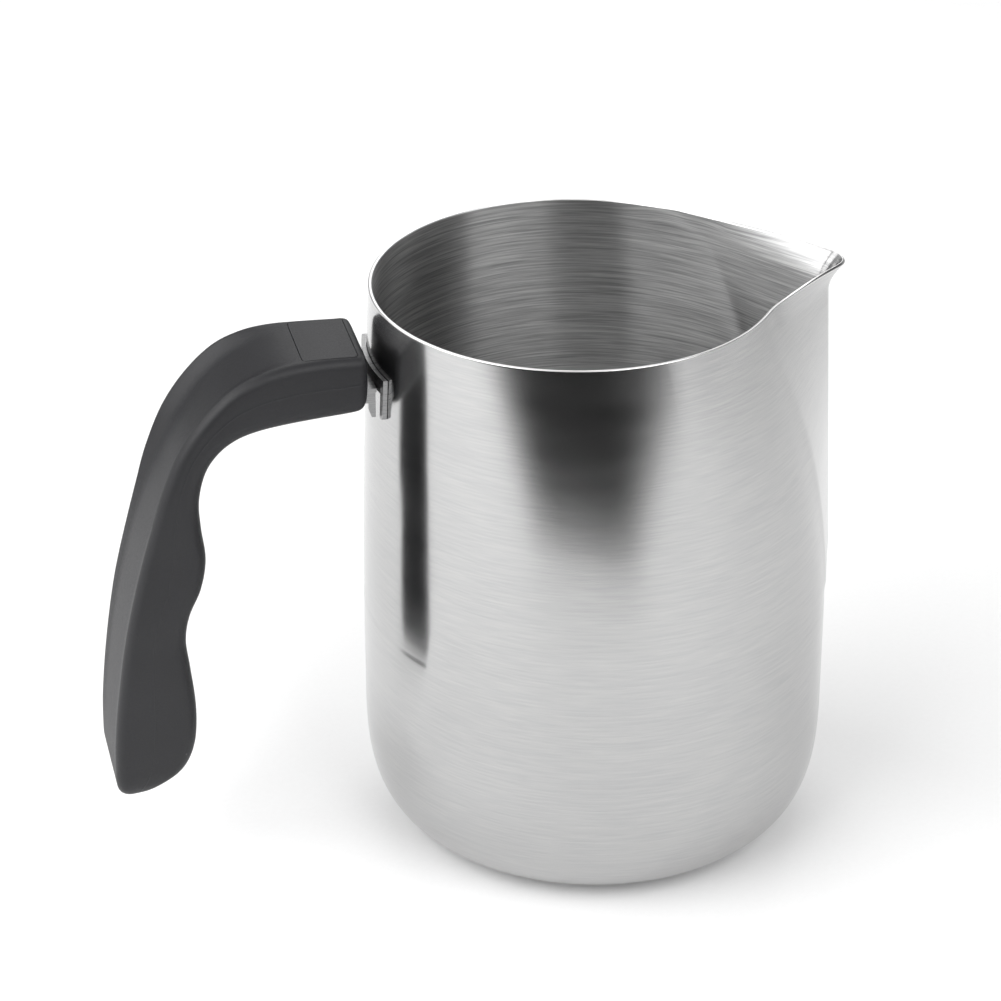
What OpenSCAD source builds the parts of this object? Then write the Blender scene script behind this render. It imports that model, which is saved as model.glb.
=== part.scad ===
// Candle melting pot: a drawn stainless cup with a pressed pouring spout, and a moulded
// handle screwed to a stamped bracket that is spot-welded to the wall.
// Origin: centre of the flat base. +X towards the spout, -X towards the handle, +Z up.

/* [Pot] */
// Outside diameter of the straight lower wall
belly_d = 100; // [90:1:110]
// Height of the rim above the base
pot_h = 127; // [120:1:140]
// Thickness of the sheet
wall_t = 0.8; // [0.6:0.1:1.2]
// Outside diameter of the rim circle, without the spout
rim_d = 85.4; // [82:0.2:88]
// How far the rim circle is moved towards the handle, which keeps that side of the wall upright
rim_shift = 5.3; // [4:0.1:6]
// Height at which the wall starts to draw in towards the rim
neck_z = 50; // [45:1:60]
// How far the rounded bottom corner reaches in from the wall
corner_run = 29; // [22:1:34]
// How high the rounded bottom corner reaches
corner_rise = 33; // [26:1:40]

/* [Spout] */
// Height at which the pressed spout starts on the wall
spout_z = 53; // [50:0.5:70]
// Distance of the spout ridge from the pot's axis at its lower end
ridge_low = 52.8; // [52:0.1:54]
// Distance of the spout ridge from the pot's axis just under the lip
ridge_high = 50.2; // [49:0.1:51]
// How far the lip flares out past the ridge
lip_out = 3.4; // [1:0.1:4]
// How far the tip of the lip dips below the rim
lip_dip = 1; // [0:0.1:3]
// Where the spout's right flank leaves the round wall, seen from the handle, degrees from its ridge
spout_right_angle = 24.5; // [20:0.5:36]
// Where the spout's left flank leaves the round wall, degrees from its ridge
spout_left_angle = 35; // [20:0.5:36]

/* [Bracket] */
// Thickness of the bracket's sheet
bracket_t = 0.9; // [0.8:0.1:1.2]
// Width of the saddle on the wall
saddle_w = 23; // [22:0.5:26]
// Height of the saddle's top edge
saddle_top = 113.9; // [113:0.1:115.5]
// Height of the lower edge of the saddle's ears
saddle_low = 104.9; // [104:0.1:106]
// Outside width of the channel arm that carries the handle
arm_w = 19; // [17:0.5:20]
// Height of the channel arm's flat top
arm_top = 111.4; // [111:0.1:112]
// How far the arm's end is from the pot's axis
arm_reach = 66; // [63:0.5:67]

/* [Handle] */
// Distance of the handle's end face from the pot's axis
grip_start = 51; // [50.5:0.1:51.5]
// Radius of the long edges on the back of the grip
back_edge_r = 3; // [2:0.25:4]
// Radius of the long edges on the finger side
finger_edge_r = 3.5; // [2.5:0.25:5]
// Length of the cover over the screw
cover_l = 11.4; // [10.6:0.1:12]
// Width of the cover over the screw
cover_w = 18.6; // [17:0.2:19]
// Thickness of the cover's plate
cover_t = 1.7; // [1.2:0.1:1.9]

/* [Screw] */
// Thread diameter
screw_d = 4; // [3.5:0.1:4]
// Distance of the screw's axis from the pot's axis
screw_x = 58; // [57:0.1:59]
// Diameter of the screw's head
head_d = 7.6; // [7:0.1:8]
// Height of the screw's head
head_h = 2.2; // [1.8:0.1:2.4]
// Length under the head
screw_l = 6; // [5.7:0.1:6.1]
// Outside diameter of the washer
washer_d = 8.6; // [8:0.1:9]
// Thickness of the washer
washer_t = 0.8; // [0.5:0.1:0.9]
// Width of the square nut across its flats
nut_w = 7; // [6.5:0.1:7.5]
// Thickness of the square nut
nut_t = 2.2; // [1.8:0.1:2.3]

/* [Hidden] */
$fn = 64;

steel = [0.78, 0.78, 0.79];
plated = [0.70, 0.70, 0.72];
phenolic = [0.13, 0.13, 0.14];

// Pot
belly_r = belly_d / 2;
rim_r = rim_d / 2;
corner_power = 3.5; // 2 would be an ellipse, more is squarer
neck_power = 1.8; // how late the wall draws in
lip_h = 6.5; // height over which the lip flares
pinch_h = 6; // height over which the spout rises out of the wall
pinch_in = 3.2; // how far the ridge starts inside the wall
ridge_top_z = pot_h - lip_h;
ridge_r_low = 5; // rounding of the ridge at its lower end
ridge_r_lip = 5.5; // rounding of the ridge at the lip
crease_soft = 0.5; // softness of the crease between spout and wall
flank_fall = 0.15; // how fast the spout's flank leaves the wall past its tangent, mm per degree
dip_start = 18; // height below the rim at which the lip starts to dip
dip_angle = 9; // spread of the dip round the rim, in degrees
corner_steps = 8;
fine_step = 3; // degrees between columns across the spout
coarse_step = 9; // degrees between columns round the rest
fine_to = 45;

// Bracket
saddle_gap = 0.06; // play between saddle and wall, filled by the weld
slot_w = 0.7; // slit between ear and arm
arm_nose = 108.2; // lower edge of the arm inside the handle
arm_clear = 0.2; // play between the arm's deep part and the handle's end face
fine = 0.01;

// Handle: each station is [back x, back z, finger x, finger z, width], from the end at the pot
// down to the free end
STATIONS = [
    [-grip_start, 117.9, -grip_start, 109.2, 19.4],
    [-grip_start - 0.5, 118.7, -grip_start - 0.4, 107.4, 21],
    [-grip_start - 1.5, 119, -grip_start - 1.5, 106.3, 22],
    [-55, 119.1, -55, 105.8, 22],
    [-61, 119.2, -62, 105.4, 22.5],
    [-68, 118.9, -69, 105.1, 24],
    [-74, 117.6, -74.5, 104.6, 25.5],
    [-80, 114.7, -78.8, 103.4, 26.5],
    [-86, 109, -82.4, 100.9, 27],
    [-91, 101.8, -85.2, 96.8, 27],
    [-94.8, 92.8, -86.8, 90.4, 27],
    [-97.2, 84.8, -86.6, 83.6, 26.5],
    [-99.2, 77.8, -85.9, 76.4, 26],
    [-101.1, 70.6, -87.1, 69.6, 26],
    [-102.8, 63.4, -89.7, 63.6, 26],
    [-104.2, 56, -90.8, 57.4, 25.5],
    [-105.3, 48.8, -90.1, 50, 25.5],
    [-106.3, 41, -89.3, 41.4, 25],
    [-107, 33.4, -89.5, 34.2, 24.8],
    [-107.2, 28, -90.6, 29.4, 24.6],
    [-107.2, 24, -92.6, 25.6, 24.2],
    [-106.8, 21, -95.6, 22.9, 21.6],
    [-105.5, 19.4, -98.4, 20.9, 16.8],
    [-103.8, 18.9, -100.4, 19.7, 12]
];
station_steps = 3; // rings between two stations
corner_points = 5; // points on each rounded edge of a ring
play = 0.2; // play between parts that are pushed together
peg_d = 2.4;
peg_l = 2.2;
cover_start = grip_start + 1.8;
peg_spots = [[-screw_x, -7.2], [-screw_x, 7.2]];
cover_top = 119;
seat_z = 113.4; // floor under the washer
head_top = seat_z + washer_t + head_h;

// --- Pot: section of the wall at a height

// Share of the draw-in reached at height z, 0 on the straight wall and 1 at the rim
function neck(z) = z <= neck_z ? 0 : pow((z - neck_z) / (pot_h - neck_z), neck_power);

// Radius of the wall's circle, and the distance its centre has moved towards the handle
function wall_r(z) = belly_r - (belly_r - rim_r) * neck(z);
function wall_shift(z) = rim_shift * neck(z);

// Distance of the spout's ridge from the pot's axis
function pinch_drop(z) = z >= spout_z + pinch_h ? 0 : pinch_in * pow((spout_z + pinch_h - z) / pinch_h, 2);
function lip_flare(z) = z <= ridge_top_z ? 0 : lip_out * pow((z - ridge_top_z) / lip_h, 2);
function ridge_share(z) = min(1, max(0, (z - spout_z - pinch_h) / (ridge_top_z - spout_z - pinch_h)));
function ridge_x(z) = ridge_low + (ridge_high - ridge_low) * ridge_share(z) - pinch_drop(z) + lip_flare(z);
function ridge_r(z) = ridge_r_low + (ridge_r_lip - ridge_r_low) * ridge_share(z);

// Half angle of the spout's wedge, whose flanks meet the wall at their own angles or as tangents
function wedge_angle(a, r, tip) = let (
        meet = min(a < 0 ? spout_right_angle : spout_left_angle, acos(min(1, r / tip)))
    ) atan2(r * sin(meet), tip - r * cos(meet));

// Distance from the section's centre to the wedge, at angle a from the spout
function wedge_r(a, ridge_c, round_r, half) = let (
        apex = ridge_c + round_r / sin(half),
        flat_a = 90 - half,
        round_a = atan2(round_r * cos(half), ridge_c + round_r * sin(half))
    )
    a < round_a ? ridge_c * cos(a) + sqrt(max(0, pow(round_r, 2) - pow(ridge_c * sin(a), 2)))
    : a < flat_a ? apex * sin(half) / sin(half + a)
    : apex * sin(half) - flank_fall * (a - flat_a);

function soft_max(a, b, k) = (a + b + sqrt(pow(a - b, 2) + k * k)) / 2;

// Distance from the section's centre to the wall's surface, inset by the given amount
function section_r(a, z, inset) = let (
        r = wall_r(z),
        tip = ridge_x(z) + wall_shift(z),
        round_r = ridge_r(z),
        half = wedge_angle(a, r, max(tip, r + fine))
    )
    tip <= r ? r - inset
    : soft_max(r - inset, wedge_r(abs(a), tip - round_r, round_r - inset, half),
               min(crease_soft, tip - r)) - min(crease_soft, tip - r) * 0.1;

// The lip's dip at a height and angle
function dip(a, z) = z < pot_h - dip_start ? 0
    : lip_dip * pow((z - pot_h + dip_start) / dip_start, 2) * exp(-pow(a / dip_angle, 2));

function wall_point(a, z, inset) = let (r = section_r(a, z, inset))
    [r * cos(a) - wall_shift(z), r * sin(a), z - dip(a, z)];

// --- Pot: rings of points from the middle of the base to the rim

ANGLES = concat(
    [for (a = [-fine_to:fine_step:fine_to - fine_step]) a],
    [for (a = [fine_to:coarse_step:360 - fine_to - coarse_step]) a]
);
function signed(a) = a > 180 ? a - 360 : a;

// Ring i of the bottom corner, a quarter of a superellipse
function corner_ring(i, inset) = let (
        t = 90 * i / corner_steps,
        run = corner_run - inset,
        r = belly_r - corner_run + run * pow(sin(t), 2 / corner_power),
        z = inset + (corner_rise - inset) * (1 - pow(cos(t), 2 / corner_power))
    ) [for (a = ANGLES) [r * cos(a), r * sin(a), z]];

function wall_ring(z, inset) = [for (a = ANGLES) wall_point(signed(a), z, inset)];

// Heights of the rings above the corner: closer where the spout starts and where the lip flares
HEIGHTS = concat(
    [neck_z - 8, spout_z - 2],
    [for (i = [0:4]) spout_z + pinch_h * i / 4],
    [for (i = [1:5]) spout_z + pinch_h + (ridge_top_z - spout_z - pinch_h) * i / 5],
    [for (i = [1:3]) ridge_top_z + (lip_h - wall_t / 2) * i / 3]
);
OUTSIDE = concat(
    [for (i = [0:corner_steps]) corner_ring(i, 0)],
    [for (z = HEIGHTS) wall_ring(z, 0)]
);
INSIDE = concat(
    [for (i = [0:corner_steps]) corner_ring(i, wall_t)],
    [for (z = HEIGHTS) wall_ring(z, wall_t)]
);

// Point number j of ring i, where a ring has n points
function ring_point(i, j, n) = i * n + (j % n);

// Faces of the skin between consecutive rings, as triangles, and the two end caps
function skin(rings, n) = [
    for (i = [0:rings - 2]) for (j = [0:n - 1]) each [
        [ring_point(i, j, n), ring_point(i + 1, j, n), ring_point(i + 1, j + 1, n)],
        [ring_point(i, j, n), ring_point(i + 1, j + 1, n), ring_point(i, j + 1, n)]
    ]
];
function reversed(list) = [for (i = [len(list) - 1:-1:0]) list[i]];
module loft(rings) {
    n = len(rings[0]);
    first = [for (j = [0:n - 1]) n - 1 - j];
    last = [for (j = [0:n - 1]) ring_point(len(rings) - 1, j, n)];
    points = [for (ring = rings) each ring];
    polyhedron(points, concat([reversed(first)], [for (f = skin(len(rings), n)) f], [reversed(last)]));
}

// Sheet-metal cup: up the outside, over the rounded rim and down the inside
module pot_body() {
    rim = [wall_ring(pot_h, wall_t / 2)];
    color(steel) loft(concat(OUTSIDE, rim, reversed(INSIDE)));
}

// --- Bracket

// Distance of the wall from the pot's axis on the handle's side
function wall_x(z) = wall_r(z) + wall_shift(z);

// Outline of the saddle, seen from the handle: a band across the top and an ear at each side
module saddle_outline() {
    band_low = arm_top - bracket_t;
    ear_w = (saddle_w - arm_w) / 2 - slot_w;
    translate([-saddle_w / 2, band_low]) square([saddle_w, saddle_top - band_low]);
    for (side = [-1, 1]) {
        ear_mid = side * (saddle_w - ear_w) / 2;
        translate([ear_mid - ear_w / 2, saddle_low + ear_w / 2]) square([ear_w, band_low - saddle_low]);
        translate([ear_mid, saddle_low + ear_w / 2]) circle(d = ear_w);
    }
}

// Saddle: a piece of shell that leans with the wall
module saddle() {
    mid_z = (saddle_top + saddle_low) / 2;
    lean = atan2(wall_x(saddle_low) - wall_x(saddle_top), saddle_top - saddle_low);
    inner_r = wall_r(mid_z) + saddle_gap;
    translate([-wall_x(mid_z), 0, mid_z]) rotate([0, lean, 0]) intersection() {
        translate([wall_r(mid_z), 0, -saddle_top / 2]) difference() {
            cylinder(r = inner_r + bracket_t, h = saddle_top);
            translate([0, 0, -1]) cylinder(r = inner_r, h = saddle_top + 2);
        }
        rotate([90, 0, -90]) translate([0, -mid_z, -saddle_w / 2])
            linear_extrude(saddle_w) saddle_outline();
    }
}

// One side of the channel arm, deep beside the wall and shallower inside the handle
module arm_flange() {
    near = wall_x(saddle_low) + bracket_t;
    linear_extrude(bracket_t) polygon([
        [-near + bracket_t / 2, arm_top], [-arm_reach, arm_top], [-arm_reach, arm_nose],
        [-grip_start + arm_clear, arm_nose], [-grip_start + arm_clear, saddle_low + 1.7],
        [-grip_start + 4 * arm_clear, saddle_low], [-near + bracket_t / 2, saddle_low]
    ]);
}

// Stamped bracket: the saddle on the wall, and the tongue between the slits bent out as a channel
module handle_bracket() {
    root_x = wall_x(arm_top) + bracket_t / 2;
    color(steel) difference() {
        union() {
            saddle();
            translate([-arm_reach, -arm_w / 2, arm_top - bracket_t])
                cube([arm_reach - root_x, arm_w, bracket_t]);
            for (y = [-arm_w / 2 + bracket_t, arm_w / 2])
                translate([0, y, 0]) rotate([90, 0, 0]) arm_flange();
        }
        translate([-screw_x, 0, arm_top - 2]) cylinder(d = screw_d + play, h = 4);
    }
}

// --- Handle

// Smooth curve through four neighbouring stations
function through(a, b, c, d, t) = (2 * b + (c - a) * t + (2 * a - 5 * b + 4 * c - d) * t * t
    + (3 * b - a - 3 * c + d) * t * t * t) / 2;
function station(i) = STATIONS[min(max(i, 0), len(STATIONS) - 1)];
function between(i, t) = through(station(i - 1), station(i), station(i + 1), station(i + 2), t);

// A quarter of a rounded edge in the ring's plane: u across the grip, v from the finger side (0)
// to the back (1 at full depth)
function edge(u, v, r, from) = [
    for (k = [0:corner_points - 1]) let (a = from + 90 * k / (corner_points - 1))
        [u + r * cos(a), v + r * sin(a)]
];

// Outline of the grip across its length
function grip_outline(w, depth) = let (
        limit = min(w, depth) * 0.48,
        rb = min(back_edge_r, limit),
        rf = min(finger_edge_r, limit, depth - rb - fine)
    ) concat(
        edge(w / 2 - rf, rf, rf, -90),
        edge(w / 2 - rb, depth - rb, rb, 0),
        edge(-w / 2 + rb, depth - rb, rb, 90),
        edge(-w / 2 + rf, rf, rf, 180)
    );

// Ring of points of one station, in the plane across the grip
function grip_ring(s) = let (
        depth = norm([s[0] - s[2], s[1] - s[3]]),
        dir = [s[0] - s[2], s[1] - s[3]] / depth
    ) [for (p = grip_outline(s[4], depth)) [s[2] + dir[0] * p[1], -p[0], s[3] + dir[1] * p[1]]];

GRIP_RINGS = concat(
    [for (i = [0:len(STATIONS) - 2]) for (k = [0:station_steps - 1]) grip_ring(between(i, k / station_steps))],
    [grip_ring(station(len(STATIONS) - 1))]
);

// Moulded handle, hollowed for the arm, the nut, the screw and the cover
module handle_grip() {
    socket_low = arm_nose - play;
    socket_top = arm_top + play;
    cover_low = cover_top - cover_t - play;
    color(phenolic) difference() {
        loft(GRIP_RINGS);
        translate([-arm_reach - play, -arm_w / 2 - play, socket_low])
            cube([arm_reach - grip_start + 2, arm_w + 2 * play, socket_top - socket_low]);
        translate([-screw_x, 0, socket_low]) cylinder(d = screw_d + 2 * play, h = seat_z);
        translate([-screw_x, 0, seat_z]) cylinder(d = washer_d + 2 * play, h = cover_top);
        translate([-cover_start - cover_l - play, -cover_w / 2 - play, cover_low])
            cube([cover_l + 2 * play, cover_w + 2 * play, 3 * cover_t]);
        for (spot = peg_spots)
            translate([spot[0], spot[1], cover_low - peg_l - play]) cylinder(d = peg_d + play, h = peg_l + 1);
    }
}

// Cover over the screw, with two pegs underneath
module screw_cover() {
    plate_z = cover_top - cover_t;
    color(phenolic) {
        translate([-cover_start - cover_l, -cover_w / 2, plate_z]) cube([cover_l, cover_w, cover_t]);
        for (spot = peg_spots)
            translate([spot[0], spot[1], plate_z - peg_l]) cylinder(d = peg_d, h = peg_l + fine);
    }
}

// --- Fasteners

// Pan-head screw with a cross recess, pointing down
module handle_screw() {
    recess_w = 1;
    recess_l = 4.2;
    recess_h = 1.3;
    under_head = seat_z + washer_t;
    color(plated) translate([-screw_x, 0, 0]) difference() {
        union() {
            translate([0, 0, under_head - screw_l]) cylinder(d = screw_d, h = screw_l + fine);
            translate([0, 0, under_head]) cylinder(d = head_d, h = head_h * 0.6);
            translate([0, 0, under_head + head_h * 0.6])
                cylinder(d1 = head_d, d2 = head_d * 0.7, h = head_h * 0.4);
        }
        for (turn = [0, 90]) rotate([0, 0, turn])
            translate([-recess_l / 2, -recess_w / 2, head_top - recess_h])
                cube([recess_l, recess_w, recess_h + 1]);
    }
}

// Flat washer under the screw's head
module flat_washer() {
    color(plated) translate([-screw_x, 0, seat_z]) difference() {
        cylinder(d = washer_d, h = washer_t);
        translate([0, 0, -1]) cylinder(d = screw_d + 2 * play, h = washer_t + 2);
    }
}

// Square nut held under the arm, between its sides
module square_nut() {
    nut_top = arm_top - bracket_t;
    color(plated) translate([-screw_x, 0, nut_top - nut_t]) difference() {
        translate([-nut_w / 2, -nut_w / 2, 0]) cube([nut_w, nut_w, nut_t]);
        translate([0, 0, -1]) cylinder(d = screw_d, h = nut_t + 2);
    }
}

pot_body();
handle_bracket();
handle_grip();
screw_cover();
handle_screw();
flat_washer();
square_nut();
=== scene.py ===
import math

import bmesh
import bpy
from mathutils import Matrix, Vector


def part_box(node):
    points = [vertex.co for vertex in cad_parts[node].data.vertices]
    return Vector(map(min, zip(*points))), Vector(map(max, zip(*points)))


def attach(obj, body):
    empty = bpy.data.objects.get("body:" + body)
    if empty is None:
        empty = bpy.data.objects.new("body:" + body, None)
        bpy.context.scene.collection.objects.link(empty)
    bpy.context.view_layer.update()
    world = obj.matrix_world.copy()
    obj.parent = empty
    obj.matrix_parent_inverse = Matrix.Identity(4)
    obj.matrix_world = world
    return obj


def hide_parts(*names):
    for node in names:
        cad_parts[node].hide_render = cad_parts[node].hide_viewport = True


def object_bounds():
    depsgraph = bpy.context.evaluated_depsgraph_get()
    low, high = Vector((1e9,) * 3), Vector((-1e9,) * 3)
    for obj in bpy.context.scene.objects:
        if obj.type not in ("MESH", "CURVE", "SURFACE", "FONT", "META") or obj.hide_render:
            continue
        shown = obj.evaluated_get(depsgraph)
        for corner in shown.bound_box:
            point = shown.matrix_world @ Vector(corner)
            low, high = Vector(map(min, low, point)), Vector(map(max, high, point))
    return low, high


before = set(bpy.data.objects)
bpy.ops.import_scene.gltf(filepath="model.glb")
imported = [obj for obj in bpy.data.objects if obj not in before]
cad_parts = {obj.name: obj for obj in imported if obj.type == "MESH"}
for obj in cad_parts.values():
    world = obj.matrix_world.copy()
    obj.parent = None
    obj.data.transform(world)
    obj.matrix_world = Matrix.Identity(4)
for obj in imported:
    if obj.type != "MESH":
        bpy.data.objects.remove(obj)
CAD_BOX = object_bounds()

bl_info = {
    "name": "Candle melting pot",
    "version": (1, 0, 0),
    "blender": (4, 5, 0),
    "location": "View3D > Sidebar > Melting pot",
    "description": "Builds a stainless steel melting pot with its moulded handle, and a studio for it",
    "category": "Object",
}

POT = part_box("pot_body")
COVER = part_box("screw_cover")
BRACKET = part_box("handle_bracket")
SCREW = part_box("handle_screw")
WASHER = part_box("flat_washer")
POT_HEIGHT = POT[1][2] - POT[0][2]
POT_WIDTH = POT[1][1] - POT[0][1]
MM = 0.001
COVER_THICKNESS = 1.7 * MM
STAGE_DISTANCE = 0.9  # from the pot's mouth to the lights and flags
SOFTBOX_HEIGHT = 0.7
CAMERA_TARGET = (-0.0198, 0.0046, 0.0743)


# --- Small helpers

def to_linear(hex_colour):
    """Linear RGBA of an sRGB hex colour."""
    channels = [int(hex_colour[i:i + 2], 16) / 255 for i in (1, 3, 5)]
    return (*[c / 12.92 if c <= 0.04045 else ((c + 0.055) / 1.055) ** 2.4 for c in channels], 1)


def colour_prop(name, description, hex_colour):
    return bpy.props.FloatVectorProperty(name=name, description=description, subtype="COLOR",
                                         default=to_linear(hex_colour)[:3], min=0, max=1)


def length_prop(name, description, default):
    return bpy.props.FloatProperty(name=name, description=description, default=default,
                                   unit="LENGTH", min=0, precision=5)


def share_prop(name, description, default, top=1):
    return bpy.props.FloatProperty(name=name, description=description, default=default,
                                   subtype="FACTOR", min=0, max=top)


def deselect_all():
    if bpy.context.object and bpy.context.object.mode != "OBJECT":
        bpy.ops.object.mode_set(mode="OBJECT")
    bpy.ops.object.select_all(action="DESELECT")


def make_active(obj):
    deselect_all()
    obj.select_set(True)
    bpy.context.view_layer.objects.active = obj


def named(name):
    obj = bpy.context.object
    obj.name = name
    obj.data.name = name
    return obj


def settle(obj):
    """Puts the object's place into its mesh."""
    make_active(obj)
    bpy.ops.object.transform_apply(location=True, rotation=True, scale=True)


def apply_modifier(obj, kind, **settings):
    make_active(obj)
    modifier = obj.modifiers.new(kind.title(), kind)
    for key, value in settings.items():
        setattr(modifier, key, value)
    bpy.ops.object.modifier_apply(modifier=modifier.name)


def combine(obj, cutter, operation):
    """Cuts, joins or keeps the overlap with a second solid, which is then removed."""
    apply_modifier(obj, "BOOLEAN", operation=operation, object=cutter, solver="EXACT")
    bpy.data.objects.remove(cutter)


def smooth(obj, angle):
    make_active(obj)
    bpy.ops.object.shade_smooth_by_angle(angle=math.radians(angle))


def box_between(name, low, high):
    deselect_all()
    bpy.ops.mesh.primitive_cube_add(size=1, location=[(a + b) / 2 for a, b in zip(low, high)],
                                    scale=[b - a for a, b in zip(low, high)])
    obj = named(name)
    settle(obj)
    return obj


def rod(name, x, y, low, high, radius, corners=48):
    deselect_all()
    bpy.ops.mesh.primitive_cylinder_add(vertices=corners, radius=radius, depth=high - low,
                                        location=(x, y, (low + high) / 2))
    obj = named(name)
    settle(obj)
    return obj


def clamp(value, low, high):
    return max(low, min(high, value))


# --- Materials

def new_material(name):
    """An empty node material with its shader and output."""
    material = bpy.data.materials.new(name)
    material.use_nodes = True
    tree = material.node_tree
    tree.nodes.clear()
    output = tree.nodes.new("ShaderNodeOutputMaterial")
    shader = tree.nodes.new("ShaderNodeBsdfPrincipled")
    tree.links.new(shader.outputs[0], output.inputs[0])
    return material, tree, shader


def add_node(tree, kind, settings=None, inputs=None):
    """Adds a node, sets its properties, and sets or links its inputs by name or number."""
    node = tree.nodes.new(kind)
    for key, value in (settings or {}).items():
        setattr(node, key, value)
    for key, value in (inputs or {}).items():
        if isinstance(value, bpy.types.NodeSocket):
            tree.links.new(value, node.inputs[key])
        else:
            node.inputs[key].default_value = value
    return node


def ramp(tree, factor, stops):
    """A colour ramp with its stops given as (place, grey level or colour)."""
    node = add_node(tree, "ShaderNodeValToRGB", inputs={0: factor})
    elements = node.color_ramp.elements
    while len(elements) < len(stops):
        elements.new(0.5)
    for element, (place, level) in zip(elements, stops):
        element.position = place
        element.color = level if isinstance(level, tuple) else (level, level, level, 1)
    return node


def turning_lines(tree, spacing, length):
    """Noise drawn out round the pot's axis, as a belt or a pad leaves it on a turning pot."""
    place = add_node(tree, "ShaderNodeTexCoord").outputs["Object"]
    split = add_node(tree, "ShaderNodeSeparateXYZ", inputs={0: place})
    flat = add_node(tree, "ShaderNodeCombineXYZ", inputs={0: split.outputs[0], 1: split.outputs[1]})
    radius = add_node(tree, "ShaderNodeVectorMath", {"operation": "LENGTH"}, {0: flat.outputs[0]})
    on_base = add_node(tree, "ShaderNodeMath", {"operation": "MINIMUM"},
                       {0: radius.outputs["Value"], 1: 0.04})
    along = add_node(tree, "ShaderNodeMath", {"operation": "ADD"},
                     {0: split.outputs[2], 1: on_base.outputs[0]})
    across = add_node(tree, "ShaderNodeMath", {"operation": "DIVIDE"}, {0: along.outputs[0], 1: spacing})
    round_x = add_node(tree, "ShaderNodeMath", {"operation": "DIVIDE"}, {0: split.outputs[0], 1: length})
    round_y = add_node(tree, "ShaderNodeMath", {"operation": "DIVIDE"}, {0: split.outputs[1], 1: length})
    return add_node(tree, "ShaderNodeCombineXYZ",
                    inputs={0: round_x.outputs[0], 1: round_y.outputs[0], 2: across.outputs[0]}).outputs[0]


def stainless_satin_polished(settings):
    """18/8 stainless sheet, belt polished as the pot turns: bright, with reflections drawn out
    up and down by hair lines that run round it."""
    material, tree, shader = new_material("stainless_steel_satin_polished")
    hair = add_node(tree, "ShaderNodeTexNoise", inputs={
        "Vector": turning_lines(tree, settings.hair_line, settings.hair_line * 30),
        "Scale": 1, "Detail": 3, "Roughness": 0.6})
    cloud = add_node(tree, "ShaderNodeTexNoise", inputs={
        "Vector": turning_lines(tree, 0.006, 0.03), "Scale": 1, "Detail": 2})
    colour = ramp(tree, hair.outputs[0], [(0.3, to_linear("#afafb0")), (0.7, to_linear("#bbbbba"))])
    rough = ramp(tree, cloud.outputs[0], [(0.35, 0.145), (0.65, 0.165)])
    bump = add_node(tree, "ShaderNodeBump", inputs={
        "Strength": 0.03, "Distance": 0.00003, "Height": hair.outputs[0]})
    shader.inputs["Metallic"].default_value = 1
    shader.inputs["Anisotropic"].default_value = 0.75
    shader.inputs["Anisotropic Rotation"].default_value = 0.25
    tree.links.new(colour.outputs[0], shader.inputs["Base Color"])
    tree.links.new(rough.outputs[0], shader.inputs["Roughness"])
    tree.links.new(bump.outputs[0], shader.inputs["Normal"])
    return material


def stainless_ground(settings):
    """The same sheet inside, left as the grinding ring cut it: coarse rings less than a
    millimetre apart, dull, with reflections smeared from rim to base."""
    material, tree, shader = new_material("stainless_steel_ground_inside")
    coarse = add_node(tree, "ShaderNodeTexNoise", inputs={
        "Vector": turning_lines(tree, settings.grinding_line, settings.grinding_line * 40),
        "Scale": 1, "Detail": 4, "Roughness": 0.65, "Distortion": 0.3})
    fine = add_node(tree, "ShaderNodeTexNoise", inputs={
        "Vector": turning_lines(tree, settings.hair_line, settings.hair_line * 40),
        "Scale": 1, "Detail": 3})
    mixed = add_node(tree, "ShaderNodeMix", {"data_type": "FLOAT"},
                     {0: 0.35, 2: coarse.outputs[0], 3: fine.outputs[0]})
    colour = ramp(tree, mixed.outputs[0], [(0.36, to_linear("#a2a2a3")), (0.5, to_linear("#c8c8c8")),
                                           (0.64, to_linear("#e4e4e3"))])
    bump = add_node(tree, "ShaderNodeBump", inputs={
        "Strength": 0.15, "Distance": 0.00004, "Height": mixed.outputs[0]})
    shader.inputs["Metallic"].default_value = 1
    shader.inputs["Roughness"].default_value = 0.34
    shader.inputs["Anisotropic"].default_value = 1
    shader.inputs["Anisotropic Rotation"].default_value = 0.25
    tree.links.new(colour.outputs[0], shader.inputs["Base Color"])
    tree.links.new(bump.outputs[0], shader.inputs["Normal"])
    return material


def stainless_cut_edge():
    """The sheared rim, rounded over and buffed bright, with the faint bite of the buffing wheel."""
    material, tree, shader = new_material("stainless_steel_buffed_edge")
    bite = add_node(tree, "ShaderNodeTexNoise", inputs={
        "Vector": turning_lines(tree, 0.0004, 0.006), "Scale": 1, "Detail": 2})
    colour = ramp(tree, bite.outputs[0], [(0.3, to_linear("#dadada")), (0.7, to_linear("#efefee"))])
    shader.inputs["Metallic"].default_value = 1
    shader.inputs["Roughness"].default_value = 0.28
    tree.links.new(colour.outputs[0], shader.inputs["Base Color"])
    return material


def stainless_stamped_painted_shade():
    """Stamped 0.9 mm stainless for the bracket: mill finish, with slight rolling grain and
    handling marks. Its greys are darker than the steel's own: painted shade for the dark handle that the
    bracket reflects."""
    material, tree, shader = new_material("stainless_steel_stamped_painted_shade")
    place = add_node(tree, "ShaderNodeTexCoord").outputs["Object"]
    grain = add_node(tree, "ShaderNodeTexNoise", inputs={
        "Vector": add_node(tree, "ShaderNodeMapping", inputs={
            "Vector": place, "Scale": (300, 4500, 4500)}).outputs[0],
        "Scale": 1, "Detail": 3})
    # Both greys are set darker than the steel's own, as painted shade for the dark handle the bracket
    # reflects
    colour = ramp(tree, grain.outputs[0], [(0.3, to_linear("#8c8c8d")), (0.7, to_linear("#a2a2a2"))])
    rough = ramp(tree, grain.outputs[0], [(0.3, 0.26), (0.7, 0.34)])
    shader.inputs["Metallic"].default_value = 1
    tree.links.new(colour.outputs[0], shader.inputs["Base Color"])
    tree.links.new(rough.outputs[0], shader.inputs["Roughness"])
    return material


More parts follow.
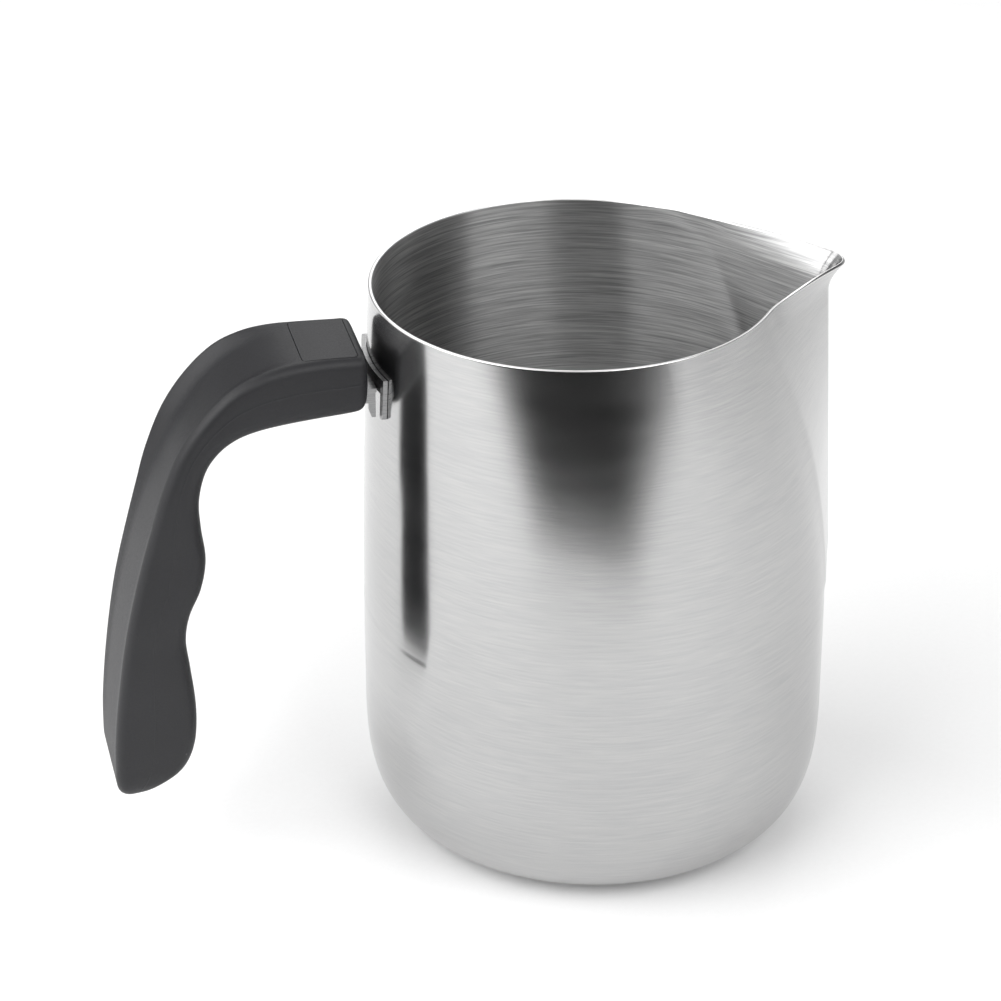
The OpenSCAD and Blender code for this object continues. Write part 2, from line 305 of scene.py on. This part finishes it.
def phenolic_moulded(settings):
    """Black phenolic, hot moulded and tumbled: a dull satin skin, fine grit, and a few pale
    specks where filler shows."""
    material, tree, shader = new_material("phenolic_moulded_black")
    place = add_node(tree, "ShaderNodeTexCoord").outputs["Object"]
    grit = add_node(tree, "ShaderNodeTexNoise", inputs={
        "Vector": place, "Scale": 1 / settings.grit, "Detail": 4, "Roughness": 0.7})
    cloud = add_node(tree, "ShaderNodeTexNoise", inputs={"Vector": place, "Scale": 60, "Detail": 3})
    speck = add_node(tree, "ShaderNodeTexVoronoi", inputs={
        "Vector": place, "Scale": 1 / settings.speck_spacing, "Randomness": 1})
    base = add_node(tree, "ShaderNodeMix", {"data_type": "RGBA"}, {
        0: cloud.outputs[0], 6: (*settings.phenolic, 1), 7: to_linear("#19191d")})
    dots = ramp(tree, speck.outputs["Distance"], [(0.02, 1.0), (0.035, 0.0)])
    colour = add_node(tree, "ShaderNodeMix", {"data_type": "RGBA"}, {
        0: dots.outputs[0], 6: base.outputs[2], 7: to_linear("#505050")})
    rough = ramp(tree, grit.outputs[0], [(0.3, 0.46), (0.7, 0.58)])
    bump = add_node(tree, "ShaderNodeBump", inputs={
        "Strength": 0.35, "Distance": 0.00012, "Height": grit.outputs[0]})
    tree.links.new(colour.outputs[2], shader.inputs["Base Color"])
    tree.links.new(rough.outputs[0], shader.inputs["Roughness"])
    tree.links.new(bump.outputs[0], shader.inputs["Normal"])
    return material


def zinc_plated():
    """Bright zinc plate on a mild-steel fastener: bluish white with a soft spangle."""
    material, tree, shader = new_material("zinc_plated_steel")
    place = add_node(tree, "ShaderNodeTexCoord").outputs["Object"]
    spangle = add_node(tree, "ShaderNodeTexNoise", inputs={"Vector": place, "Scale": 900, "Detail": 3})
    colour = ramp(tree, spangle.outputs[0], [(0.3, to_linear("#b4b8bd")), (0.7, to_linear("#d3d6da"))])
    rough = ramp(tree, spangle.outputs[0], [(0.3, 0.25), (0.7, 0.38)])
    shader.inputs["Metallic"].default_value = 1
    tree.links.new(colour.outputs[0], shader.inputs["Base Color"])
    tree.links.new(rough.outputs[0], shader.inputs["Roughness"])
    return material


# --- The pot's section: the wall's circle, the spout's wedge and the lip, as in the CAD model

class PotShape:
    """Section of the pot at each height, in metres and degrees."""

    def __init__(self, settings):
        self.height = settings.height
        self.belly_r = settings.belly / 2
        self.rim_r = settings.rim / 2
        self.neck_z = 50 * MM
        self.neck_power = 1.8
        self.rim_shift = 5.3 * MM
        self.lip_h = 6.5 * MM
        self.lip_out = 3.4 * MM
        self.lip_dip = 1 * MM
        self.dip_start = 18 * MM
        self.dip_angle = 9
        self.ridge_top_z = self.height - self.lip_h
        self.spout_z = settings.spout_start
        self.pinch_h = 6 * MM
        self.pinch_in = 3.2 * MM
        self.ridge_low = 52.8 * MM
        self.ridge_lean = 2.6 * MM
        self.ridge_r_low = 5 * MM
        self.ridge_r_gain = 0.5 * MM
        self.right_flank = 24.5
        self.left_flank = 35
        self.crease_soft = 0.5 * MM
        self.flank_fall = 0.15 * MM
        self.corner_run = 29 * MM
        self.corner_rise = 33 * MM
        self.corner_power = 3.5

    def neck(self, z):
        return 0 if z <= self.neck_z else ((z - self.neck_z) / (self.height - self.neck_z)) ** self.neck_power

    def wall_r(self, z):
        return self.belly_r - (self.belly_r - self.rim_r) * self.neck(z)

    def wall_shift(self, z):
        return self.rim_shift * self.neck(z)

    def ridge(self, z):
        """Distance of the spout's ridge from the axis, and the ridge's rounding."""
        top = self.spout_z + self.pinch_h
        share = clamp((z - top) / (self.ridge_top_z - top), 0, 1)
        drop = self.pinch_in * ((top - z) / self.pinch_h) ** 2 if z < top else 0
        flare = self.lip_out * ((z - self.ridge_top_z) / self.lip_h) ** 2 if z > self.ridge_top_z else 0
        return (self.ridge_low - self.ridge_lean * share - drop + flare,
                self.ridge_r_low + self.ridge_r_gain * share)

    def wedge(self, angle, centre, rounding, half):
        """Distance of the wedge's side from the section's centre, angles in radians."""
        apex = centre + rounding / math.sin(half)
        round_a = math.atan2(rounding * math.cos(half), centre + rounding * math.sin(half))
        flat_a = math.pi / 2 - half
        if angle < round_a:
            return centre * math.cos(angle) + math.sqrt(
                max(0, rounding ** 2 - (centre * math.sin(angle)) ** 2))
        if angle < flat_a:
            return apex * math.sin(half) / math.sin(half + angle)
        return apex * math.sin(half) - self.flank_fall * math.degrees(angle - flat_a)

    def point(self, angle, z):
        """Point of the outer skin at an angle from the spout in radians, and a height."""
        r = self.wall_r(z)
        ridge_x, rounding = self.ridge(z)
        tip = ridge_x + self.wall_shift(z)
        reach = r
        if tip > r:
            flank = math.radians(self.right_flank if angle < 0 else self.left_flank)
            meet = min(flank, math.acos(min(1, r / tip)))
            half = math.atan2(r * math.sin(meet), tip - r * math.cos(meet))
            side = self.wedge(abs(angle), tip - rounding, rounding, half)
            soft = min(self.crease_soft, tip - r)
            reach = (r + side + math.hypot(r - side, soft)) / 2 - soft * 0.1
        dip = 0
        if z > self.height - self.dip_start:
            near_rim = (z - self.height + self.dip_start) / self.dip_start
            dip = self.lip_dip * near_rim ** 2 * math.exp(-(math.degrees(angle) / self.dip_angle) ** 2)
        return (reach * math.cos(angle) - self.wall_shift(z), reach * math.sin(angle), z - dip)


def pot_rings(shape):
    """Radius and height of each ring of the outer skin, from the flat base up to the rim."""
    rings = [(shape.belly_r - shape.corner_run, 0)]
    steps = 26
    for i in range(1, steps + 1):
        turn = math.pi / 2 * i / steps
        out = math.sin(turn) ** (2 / shape.corner_power)
        left = max(0, math.cos(turn)) ** (2 / shape.corner_power)
        rings.append((shape.belly_r - shape.corner_run + shape.corner_run * out,
                      shape.corner_rise * (1 - left)))
    pinch_low = shape.spout_z - 1 * MM
    pinch_high = shape.spout_z + shape.pinch_h + 1 * MM
    spans = [(shape.corner_rise, pinch_low, 9), (pinch_low, pinch_high, 16),
             (pinch_high, shape.ridge_top_z, 26), (shape.ridge_top_z, shape.height, 14)]
    for low, high, count in spans:
        rings += [(shape.belly_r, low + (high - low) * i / count) for i in range(1, count + 1)]
    return rings


def make_pot(settings, materials):
    shape = PotShape(settings)
    rings = pot_rings(shape)
    columns = 216
    deselect_all()
    bpy.ops.mesh.primitive_circle_add(vertices=columns, radius=rings[0][0], fill_type="TRIFAN")
    pot = named("pot_shell")
    bpy.ops.object.mode_set(mode="EDIT")
    bpy.ops.mesh.select_mode(type="EDGE")
    bpy.ops.mesh.select_all(action="DESELECT")
    bpy.ops.mesh.select_non_manifold()
    for (r0, z0), (r1, z1) in zip(rings, rings[1:]):
        bpy.ops.mesh.extrude_region_move(TRANSFORM_OT_translate={"value": (0, 0, z1 - z0)})
        bpy.ops.transform.resize(value=(r1 / r0, r1 / r0, 1), center_override=(0, 0, z1))
    bpy.ops.object.mode_set(mode="OBJECT")

    # The die presses the spout: columns crowd towards it, then every point takes its place
    crowd = 0.78
    for vertex in pot.data.vertices:
        x, y, z = vertex.co
        radius = math.hypot(x, y)
        if radius < 1e-6:
            continue
        angle = math.atan2(y, x)
        angle -= crowd * math.sin(angle)
        if z <= shape.corner_rise + 1e-6:
            vertex.co = (radius * math.cos(angle), radius * math.sin(angle), z)
        else:
            vertex.co = shape.point(angle, z)

    for material in materials:
        pot.data.materials.append(material)
    make_active(pot)
    bpy.ops.object.mode_set(mode="EDIT")
    bpy.ops.mesh.select_all(action="SELECT")
    bpy.ops.mesh.normals_make_consistent(inside=False)
    lowest = min(bmesh.from_edit_mesh(pot.data).faces, key=lambda face: face.calc_center_median().z)
    if lowest.normal.z > 0:
        bpy.ops.mesh.flip_normals()
    bpy.ops.object.mode_set(mode="OBJECT")
    apply_modifier(pot, "SOLIDIFY", thickness=settings.wall, offset=-1, use_even_offset=True,
                   material_offset=1, material_offset_rim=2)
    round_rim(pot)
    smooth(pot, 40)
    return pot


def round_rim(pot):
    """Rounds both edges of the cut rim."""
    make_active(pot)
    bpy.ops.object.mode_set(mode="EDIT")
    bpy.ops.mesh.select_mode(type="EDGE")
    bpy.ops.mesh.select_all(action="DESELECT")
    mesh = bmesh.from_edit_mesh(pot.data)
    for edge in mesh.edges:
        kinds = {face.material_index for face in edge.link_faces}
        edge.select_set(2 in kinds and len(kinds) == 2)
    bmesh.update_edit_mesh(pot.data)
    bpy.ops.mesh.bevel(offset=0.22 * MM, segments=3, profile=0.5, material=2)
    bpy.ops.object.mode_set(mode="OBJECT")


# --- The handle's moulding: a section drawn along stations

# Each station is [back x, back z, finger x, finger z, width, hollow of the back], in millimetres,
# from the end at the pot down to the free end
STATIONS = [
    (-51, 117.9, -51, 109.2, 19.4, 0),
    (-51.5, 118.7, -51.4, 107.4, 21, 0),
    (-52.5, 119, -52.5, 106.3, 22, 0),
    (-55, 119.1, -55, 105.8, 22, 0),
    (-61, 119.2, -62, 105.4, 22.5, 0),
    (-68, 118.9, -69, 105.1, 24, 0.4),
    (-74, 117.6, -74.5, 104.6, 25.5, 1.4),
    (-80, 114.7, -78.8, 103.4, 26.5, 2.1),
    (-86, 109, -82.4, 100.9, 27, 2.4),
    (-91, 101.8, -85.2, 96.8, 27, 2.3),
    (-94.8, 92.8, -86.8, 90.4, 27, 1.9),
    (-97.2, 84.8, -86.6, 83.6, 26.5, 1.2),
    (-99.2, 77.8, -85.9, 76.4, 26, 0.8),
    (-101.1, 70.6, -87.1, 69.6, 26, 0.7),
    (-102.8, 63.4, -89.7, 63.6, 26, 0.6),
    (-104.2, 56, -90.8, 57.4, 25.5, 0.5),
    (-105.3, 48.8, -90.1, 50, 25.5, 0.4),
    (-106.3, 41, -89.3, 41.4, 25, 0.3),
    (-107, 33.4, -89.5, 34.2, 24.8, 0.2),
    (-107.2, 28, -90.6, 29.4, 24.6, 0.1),
    (-107.2, 24.8, -92.6, 26, 24.4, 0),
    (-106.8, 22.5, -95.6, 23.6, 23.4, 0),
    (-105.8, 20.9, -98.4, 21.7, 20.8, 0),
    (-104.2, 20.1, -100.4, 20.6, 15.5, 0),
]
STATION_STEPS = 6
CORNER_POINTS = 9
SIDE_POINTS = 7
BACK_POINTS = 13
FINGER_POINTS = 5
SECTION_POINTS = 4 * CORNER_POINTS + 2 * SIDE_POINTS + BACK_POINTS + FINGER_POINTS


def through(a, b, c, d, t):
    """Smooth curve through b and c, between their neighbours."""
    return tuple((2 * q + (r - p) * t + (2 * p - 5 * q + 4 * r - s) * t * t
                  + (3 * q - p - 3 * r + s) * t ** 3) / 2 for p, q, r, s in zip(a, b, c, d))


def station_at(place):
    """Station at a place along the handle, counted in stations."""
    last = len(STATIONS) - 1
    i = min(int(place), last - 1)
    near = [STATIONS[clamp(k, 0, last)] for k in (i - 1, i, i + 1, i + 2)]
    return through(*near, place - i)


def arc(u, v, radius, start):
    return [(u + radius * math.cos(start + math.pi / 2 * k / (CORNER_POINTS - 1)),
             v + radius * math.sin(start + math.pi / 2 * k / (CORNER_POINTS - 1)))
            for k in range(CORNER_POINTS)]


def grip_section(width, depth, hollow, settings):
    """Outline across the handle: u across, v from the finger side to the back. The back is
    hollowed between its two rolled edges, and a fine ridge stands where the mould parts."""
    limit = min(width, depth) * 0.48
    back = min(settings.back_edge, limit)
    finger = min(settings.finger_edge, limit, depth - back - 0.01 * MM)
    half = width / 2
    side_low, side_high = finger, depth - back
    ridge_v = side_low + (side_high - side_low) * 0.5
    flash = 0.1 * MM
    side = []
    for offset, out in ((-1.2, 0), (-0.45, 0), (-0.18, 0), (0, flash * 0.6), (0.18, 0), (0.45, 0), (1.2, 0)):
        side.append((half + out, clamp(ridge_v + offset * MM, side_low, side_high)))
    span = half - back
    back_line = []
    for k in range(1, BACK_POINTS + 1):
        u = span * (1 - 2 * k / (BACK_POINTS + 1))
        rise = clamp((span + 0.4 * MM - abs(u)) / (3 * MM), 0, 1)
        back_line.append((u, depth - hollow * rise * rise * (3 - 2 * rise)))
    finger_line = [((half - finger) * (2 * k / (FINGER_POINTS + 1) - 1), 0)
                   for k in range(1, FINGER_POINTS + 1)]
    return (arc(half - finger, finger, finger, -math.pi / 2) + side
            + arc(half - back, depth - back, back, 0) + back_line
            + arc(-half + back, depth - back, back, math.pi / 2)
            + [(-u, v) for u, v in reversed(side)]
            + arc(-half + finger, finger, finger, math.pi) + finger_line)


def grip_ring(place, settings):
    back_x, back_z, finger_x, finger_z, width, hollow = [v * MM for v in station_at(place)]
    depth = math.hypot(back_x - finger_x, back_z - finger_z)
    dir_x, dir_z = (back_x - finger_x) / depth, (back_z - finger_z) / depth
    return [(finger_x + dir_x * v, -u, finger_z + dir_z * v)
            for u, v in grip_section(width, depth, max(0, hollow), settings)]


def make_grip_blank(settings):
    """The handle's solid, before the pockets for the bracket, the screw and the cover."""
    rings = (len(STATIONS) - 1) * STATION_STEPS + 1
    step = 1 * MM
    deselect_all()
    bpy.ops.mesh.primitive_circle_add(vertices=SECTION_POINTS, radius=5 * MM, fill_type="NGON",
                                      rotation=(0, math.pi / 2, 0))
    blank = named("handle_moulding")
    settle(blank)
    bpy.ops.object.mode_set(mode="EDIT")
    bpy.ops.mesh.select_mode(type="FACE")
    bpy.ops.mesh.select_all(action="SELECT")
    for _ in range(rings - 1):
        bpy.ops.mesh.extrude_region_move(TRANSFORM_OT_translate={"value": (-step, 0, 0)})
    bpy.ops.mesh.select_all(action="DESELECT")
    bpy.ops.object.mode_set(mode="OBJECT")

    # Each ring of the bar takes the section of its station
    sections = [grip_ring(i / STATION_STEPS, settings) for i in range(rings)]
    for vertex in blank.data.vertices:
        x, y, z = vertex.co
        ring = round(-x / step)
        turn = round(math.atan2(z, y) / (2 * math.pi) * SECTION_POINTS) % SECTION_POINTS
        vertex.co = sections[ring][turn]
    make_active(blank)
    bpy.ops.object.mode_set(mode="EDIT")
    bpy.ops.mesh.select_all(action="SELECT")
    bpy.ops.mesh.remove_doubles(threshold=0.00001)
    bpy.ops.mesh.normals_make_consistent(inside=False)
    bpy.ops.object.mode_set(mode="OBJECT")
    return blank


def cover_block(name, gap, low, high):
    """Block in the cover's outline, with rounded corners, larger by a gap."""
    block = box_between(name, (COVER[0][0] - gap, COVER[0][1] - gap, low),
                        (COVER[1][0] + gap, COVER[1][1] + gap, high))
    make_active(block)
    bpy.ops.object.mode_set(mode="EDIT")
    bpy.ops.mesh.select_mode(type="EDGE")
    bpy.ops.mesh.select_all(action="DESELECT")
    mesh = bmesh.from_edit_mesh(block.data)
    for edge in mesh.edges:
        a, b = (vertex.co for vertex in edge.verts)
        edge.select_set(abs(a.z - b.z) > 0.5 * MM)
    bmesh.update_edit_mesh(block.data)
    bpy.ops.mesh.bevel(offset=0.8 * MM + gap, segments=4)
    bpy.ops.object.mode_set(mode="OBJECT")
    return block


def cover_pegs():
    """Place and size of the two pegs: x, y, lowest point, radius."""
    mid_x = SCREW[0][0] / 2 + SCREW[1][0] / 2
    return [(mid_x, side * 7.2 * MM, COVER[0][2], 1.2 * MM) for side in (-1, 1)]


def make_grip(settings, material):
    blank = make_grip_blank(settings)
    make_active(blank)
    bpy.ops.object.duplicate()
    cover = named("cover_plate")
    play = 0.2 * MM
    screw_x = (SCREW[0][0] + SCREW[1][0]) / 2
    screw_hole_r = 2.2 * MM
    washer_seat_r = 4.5 * MM
    above = COVER[1][2] + 5 * MM
    plate_low = COVER[1][2] - COVER_THICKNESS
    pegs = cover_pegs()

    # The cover is the piece of the blank's own skin inside the cover's outline
    combine(cover, cover_block("cover_cut", 0, plate_low, above), "INTERSECT")
    for x, y, low, radius in pegs:
        combine(cover, rod("peg", x, y, low, plate_low + 0.3 * MM, radius), "UNION")

    # Pockets: socket for the arm, hole for the screw, seat for the washer, recess for the cover
    arm_half = 9.5 * MM
    arm_top = 111.4 * MM
    socket_low = 108 * MM
    combine(blank, box_between("socket", (BRACKET[0][0] - play, -arm_half - play, socket_low),
                               (-48 * MM, arm_half + play, arm_top + play)), "DIFFERENCE")
    combine(blank, rod("screw_hole", screw_x, 0, socket_low, WASHER[0][2] + 2 * MM, screw_hole_r),
            "DIFFERENCE")
    combine(blank, rod("washer_seat", screw_x, 0, WASHER[0][2], COVER[1][2] + 2 * MM, washer_seat_r),
            "DIFFERENCE")
    combine(blank, cover_block("recess", 0.15 * MM, plate_low - play, above), "DIFFERENCE")
    for x, y, low, radius in pegs:
        combine(blank, rod("peg_hole", x, y, low - play, plate_low, radius + 0.1 * MM), "DIFFERENCE")
    for obj in (blank, cover):
        obj.data.materials.clear()
        obj.data.materials.append(material)
        smooth(obj, 35)
    return blank, cover


# --- Settings

class MELTPOT_PG_pot(bpy.types.PropertyGroup):
    height: length_prop("Height", "Height of the pot to its rim", POT_HEIGHT)
    belly: length_prop("Belly", "Diameter of the straight lower wall", POT_WIDTH)
    rim: length_prop("Rim", "Diameter of the wall at the rim", 0.0854)
    wall: length_prop("Wall", "Thickness of the steel sheet", 0.0008)
    spout_start: length_prop("Spout start", "Height where the spout's ridge starts", 0.053)
    hair_line: length_prop("Hair lines", "Spacing of the polishing lines outside, drawn coarser than "
                           "the real ones so that they show", 0.0003)
    grinding_line: length_prop("Grinding rings", "Spacing of the grinding rings inside", 0.0005)


class MELTPOT_PG_handle(bpy.types.PropertyGroup):
    back_edge: length_prop("Back edges", "Rounding of the two edges of the back", 0.0022)
    finger_edge: length_prop("Finger edges", "Rounding of the two edges on the finger side", 0.0035)
    phenolic: colour_prop("Phenolic", "Colour of the moulded phenolic", "#131316")
    grit: length_prop("Grit", "Grain size of the moulded skin", 0.0004)
    speck_spacing: length_prop("Specks", "Distance between pale filler specks", 0.009)


class MELTPOT_PG_stage(bpy.types.PropertyGroup):
    floor_colour: colour_prop("Floor", "Colour of the floor", "#f4f4f4")
    sky: share_prop("Surround", "Brightness of the white surround", 0.42, 5)
    azimuth: bpy.props.FloatProperty(name="Camera azimuth", description="Turn of the camera round the pot",
                                     default=math.radians(-13), subtype="ANGLE")
    elevation: bpy.props.FloatProperty(name="Camera elevation", description="Height angle of the camera",
                                       default=math.radians(28.41), subtype="ANGLE")
    distance: length_prop("Camera distance", "Distance from the camera to the pot", 0.7737)


# --- Operators

class MELTPOT_OT_pot(bpy.types.Operator):
    """Builds the steel pot with its spout, lip and rounded rim"""
    bl_idname = "meltpot.pot"
    bl_label = "Steel pot"

    def execute(self, context):
        settings = context.scene.meltpot_pot
        materials = [stainless_satin_polished(settings), stainless_ground(settings), stainless_cut_edge()]
        pot = make_pot(settings, materials)
        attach(pot, "root")
        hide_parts("pot_body")
        return {"FINISHED"}


class MELTPOT_OT_handle(bpy.types.Operator):
    """Builds the moulded handle with its pockets, and the cover over its screw"""
    bl_idname = "meltpot.handle"
    bl_label = "Moulded handle"

    def execute(self, context):
        settings = context.scene.meltpot_handle
        grip, cover = make_grip(settings, phenolic_moulded(settings))
        for piece, node in ((grip, "handle_grip"), (cover, "screw_cover")):
            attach(piece, "root")
            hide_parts(node)
        return {"FINISHED"}


class MELTPOT_OT_metalwork(bpy.types.Operator):
    """Gives the bracket and the fasteners their metals"""
    bl_idname = "meltpot.metalwork"
    bl_label = "Bracket and fasteners"

    def execute(self, context):
        # The bracket's steel carries painted shade: its grey is darker than the pot's steel
        stamped = stainless_stamped_painted_shade()
        plated = zinc_plated()
        finishes = {"handle_bracket": stamped, "handle_screw": plated, "flat_washer": plated,
                    "square_nut": plated}
        for node, material in finishes.items():
            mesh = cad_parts[node].data
            mesh.materials.clear()
            mesh.materials.append(material)
        return {"FINISHED"}


def stage_card(name, corners, material):
    """A flat card seen only in reflections."""
    deselect_all()
    bpy.ops.mesh.primitive_plane_add(size=1)
    card = named(name)
    for vertex, corner in zip(card.data.vertices, corners):
        vertex.co = corner
    card.data.materials.append(material)
    only_in_reflections(card)
    return card


def only_in_reflections(obj):
    obj.visible_camera = False
    obj.visible_diffuse = False
    obj.visible_shadow = False
    obj.visible_transmission = False


def flag_material(level):
    material, tree, shader = new_material("dark_flag")
    tree.nodes.remove(shader)
    glow = add_node(tree, "ShaderNodeEmission", inputs={"Color": (level, level, level, 1)})
    tree.links.new(glow.outputs[0], tree.nodes["Material Output"].inputs[0])
    return material


def front_band_material(radius, middle, top):
    """Dark cloth that narrows downwards, with faded sides."""
    fade_width = radius * 0.9
    fade_length = 0.19
    material, tree, shader = new_material("front_cloth")
    tree.nodes.remove(shader)
    place = add_node(tree, "ShaderNodeTexCoord").outputs["Object"]
    turned = add_node(tree, "ShaderNodeMapping", {"vector_type": "TEXTURE"},
                      {"Vector": place, "Rotation": (0, 0, math.radians(middle))})
    split = add_node(tree, "ShaderNodeSeparateXYZ", inputs={0: turned.outputs[0]})
    side = add_node(tree, "ShaderNodeMath", {"operation": "ABSOLUTE"}, {0: split.outputs[1]})
    across = add_node(tree, "ShaderNodeMath", {"operation": "DIVIDE"},
                      {0: side.outputs[0], 1: fade_width})
    down = add_node(tree, "ShaderNodeMath", {"operation": "SUBTRACT"}, {0: top, 1: split.outputs[2]})
    drop = add_node(tree, "ShaderNodeMath", {"operation": "DIVIDE", "use_clamp": True},
                    {0: down.outputs[0], 1: fade_length})
    reach = add_node(tree, "ShaderNodeMath", {"operation": "ADD"}, {0: across.outputs[0], 1: drop.outputs[0]})
    thin = ramp(tree, reach.outputs[0], [(0.6, 0.0), (0.75, 0.2), (0.84, 0.6), (0.93, 1.0)])
    cloth = add_node(tree, "ShaderNodeEmission", inputs={"Color": (0.015, 0.015, 0.015, 1)})
    clear = add_node(tree, "ShaderNodeBsdfTransparent")
    mixed = add_node(tree, "ShaderNodeMixShader", inputs={
        0: thin.outputs[0], 1: cloth.outputs[0], 2: clear.outputs[0]})
    tree.links.new(mixed.outputs[0], tree.nodes["Material Output"].inputs[0])
    return material


def front_band(radius, start, end, low, high):
    """Curved strip standing in front of the pot, for the dark patch under the rim."""
    deselect_all()
    bpy.ops.mesh.primitive_circle_add(vertices=96, radius=radius)
    band = named("front_cloth")
    bpy.ops.object.mode_set(mode="EDIT")
    mesh = bmesh.from_edit_mesh(band.data)
    for vertex in mesh.verts:
        turn = math.degrees(math.atan2(vertex.co.y, vertex.co.x))
        vertex.select_set(not start <= turn <= end)
    mesh.select_flush_mode()
    bmesh.update_edit_mesh(band.data)
    bpy.ops.mesh.delete(type="VERT")
    bpy.ops.mesh.select_all(action="SELECT")
    bpy.ops.transform.translate(value=(0, 0, low))
    bpy.ops.mesh.extrude_region_move(TRANSFORM_OT_translate={"value": (0, 0, high - low)})
    bpy.ops.object.mode_set(mode="OBJECT")
    narrows_from = 0.085
    band.data.materials.append(front_band_material(radius, (start + end) / 2, narrows_from))
    only_in_reflections(band)


def polar(azimuth, elevation, distance=STAGE_DISTANCE, centre=(0, 0, 0.11)):
    """Point at a camera-style azimuth and elevation in degrees and a distance from the pot's mouth."""
    a, e = math.radians(azimuth), math.radians(elevation)
    return Vector(centre) + distance * Vector((math.sin(a) * math.cos(e), -math.cos(a) * math.cos(e),
                                               math.sin(e)))


def flag_between(name, start, end, low, high, material):
    """Flag or card that fills a range of azimuth and elevation as seen from the pot's mouth."""
    corners = [polar(start, low), polar(end, low), polar(start, high), polar(end, high)]
    return stage_card(name, corners, material)


def soft_light(name, place, target, width, power):
    bpy.ops.object.light_add(type="AREA", location=place)
    light = bpy.context.object
    light.name = name
    light.data.shape = "RECTANGLE"
    light.data.size = width
    light.data.size_y = SOFTBOX_HEIGHT
    light.data.energy = power
    light.rotation_euler = (Vector(target) - Vector(place)).to_track_quat("-Z", "Y").to_euler()
    return light


def white_surround(brightness):
    world = bpy.data.worlds.new("white_surround")
    world.use_nodes = True
    background = world.node_tree.nodes["Background"]
    background.inputs[0].default_value = (1, 1, 1, 1)
    background.inputs[1].default_value = brightness
    bpy.context.scene.world = world


def paper_matt(settings):
    """Matt white paper for the floor, with a faint fibre."""
    material, tree, shader = new_material("paper_matt_white")
    fibre = add_node(tree, "ShaderNodeTexNoise", inputs={
        "Vector": add_node(tree, "ShaderNodeTexCoord").outputs["Object"], "Scale": 900, "Detail": 2})
    tone = add_node(tree, "ShaderNodeMix", {"data_type": "RGBA"}, {
        0: fibre.outputs[0], 6: (*settings.floor_colour, 1), 7: to_linear("#f8f8f8")})
    tree.links.new(tone.outputs[2], shader.inputs["Base Color"])
    shader.inputs["Roughness"].default_value = 0.9
    return material


def lay_floor(settings):
    deselect_all()
    bpy.ops.mesh.primitive_plane_add(size=12, location=(0, 0, CAD_BOX[0][2]))
    floor = named("floor")
    settle(floor)
    floor.data.materials.append(paper_matt(settings))


def aim_camera(settings):
    target = Vector(CAMERA_TARGET)
    turn, rise = settings.azimuth, settings.elevation
    place = target + settings.distance * Vector((math.sin(turn) * math.cos(rise),
                                                 -math.cos(turn) * math.cos(rise), math.sin(rise)))
    bpy.ops.object.camera_add(location=place,
                              rotation=(target - place).to_track_quat("-Z", "Y").to_euler())
    camera = bpy.context.object
    camera.name = "camera"
    camera.data.lens = 129.5
    camera.data.sensor_width = 36
    camera.data.clip_start = 0.01
    camera.data.clip_end = 50
    bpy.context.scene.camera = camera


class MELTPOT_OT_stage(bpy.types.Operator):
    """Sets up the floor, the soft light, the dark flags and the camera"""
    bl_idname = "meltpot.stage"
    bl_label = "Studio"

    def execute(self, context):
        settings = context.scene.meltpot_stage
        white_surround(settings.sky)
        lay_floor(settings)

        # Angles are in degrees round the pot's mouth
        for name, azimuth, elevation, width, power in (
                ("right_front_softbox", 29, 33, 0.75, 4.8), ("left_front_softbox", -69, 33, 0.95, 7.6),
                ("left_rear_softbox", -119, 35, 0.45, 2.2), ("rear_softbox", 166, 42, 0.7, 2.4)):
            soft_light(name, polar(azimuth, elevation), (0, 0, 0.1), width, power)

        front_band(0.29, -165, -47, 0.001, 0.2)
        black = flag_material(0.02)
        flag_between("right_flag", 54, 135, 18, 84, black)
        flag_between("rear_left_flag", -178, -137, -3, 26, black)
        flag_between("right_card", 36, 105, -7, 8, flag_material(1))
        flag_between("front_card", -40, 4, 30, 84, flag_material(0.9))
        flag_between("left_strip", -105, -97, 10, 60, black)

        aim_camera(settings)
        context.scene.view_settings.view_transform = "Standard"
        return {"FINISHED"}


class MELTPOT_PT_panel(bpy.types.Panel):
    """Lists the pieces that can be built"""
    bl_idname = "MELTPOT_PT_panel"
    bl_label = "Melting pot"
    bl_space_type = "VIEW_3D"
    bl_region_type = "UI"
    bl_category = "Melting pot"

    def draw(self, context):
        for group in ("meltpot_pot", "meltpot_handle", "meltpot_stage"):
            settings = getattr(context.scene, group)
            box = self.layout.box()
            for name in settings.bl_rna.properties.keys():
                if name not in ("rna_type", "name"):
                    box.prop(settings, name)
        for operator in OPERATORS:
            self.layout.operator(operator.bl_idname)


GROUPS = {"meltpot_pot": MELTPOT_PG_pot, "meltpot_handle": MELTPOT_PG_handle,
          "meltpot_stage": MELTPOT_PG_stage}
OPERATORS = (MELTPOT_OT_pot, MELTPOT_OT_handle, MELTPOT_OT_metalwork, MELTPOT_OT_stage)


def register():
    for group in GROUPS.values():
        bpy.utils.register_class(group)
    for name, group in GROUPS.items():
        setattr(bpy.types.Scene, name, bpy.props.PointerProperty(type=group))
    for operator in OPERATORS:
        bpy.utils.register_class(operator)
    bpy.utils.register_class(MELTPOT_PT_panel)


def unregister():
    bpy.utils.unregister_class(MELTPOT_PT_panel)
    for operator in reversed(OPERATORS):
        bpy.utils.unregister_class(operator)
    for name in GROUPS:
        delattr(bpy.types.Scene, name)
    for group in reversed(list(GROUPS.values())):
        bpy.utils.unregister_class(group)


def main():
    register()
    bpy.ops.meltpot.pot()
    bpy.ops.meltpot.handle()
    bpy.ops.meltpot.metalwork()
    bpy.ops.meltpot.stage()


if __name__ == "__main__":
    main()
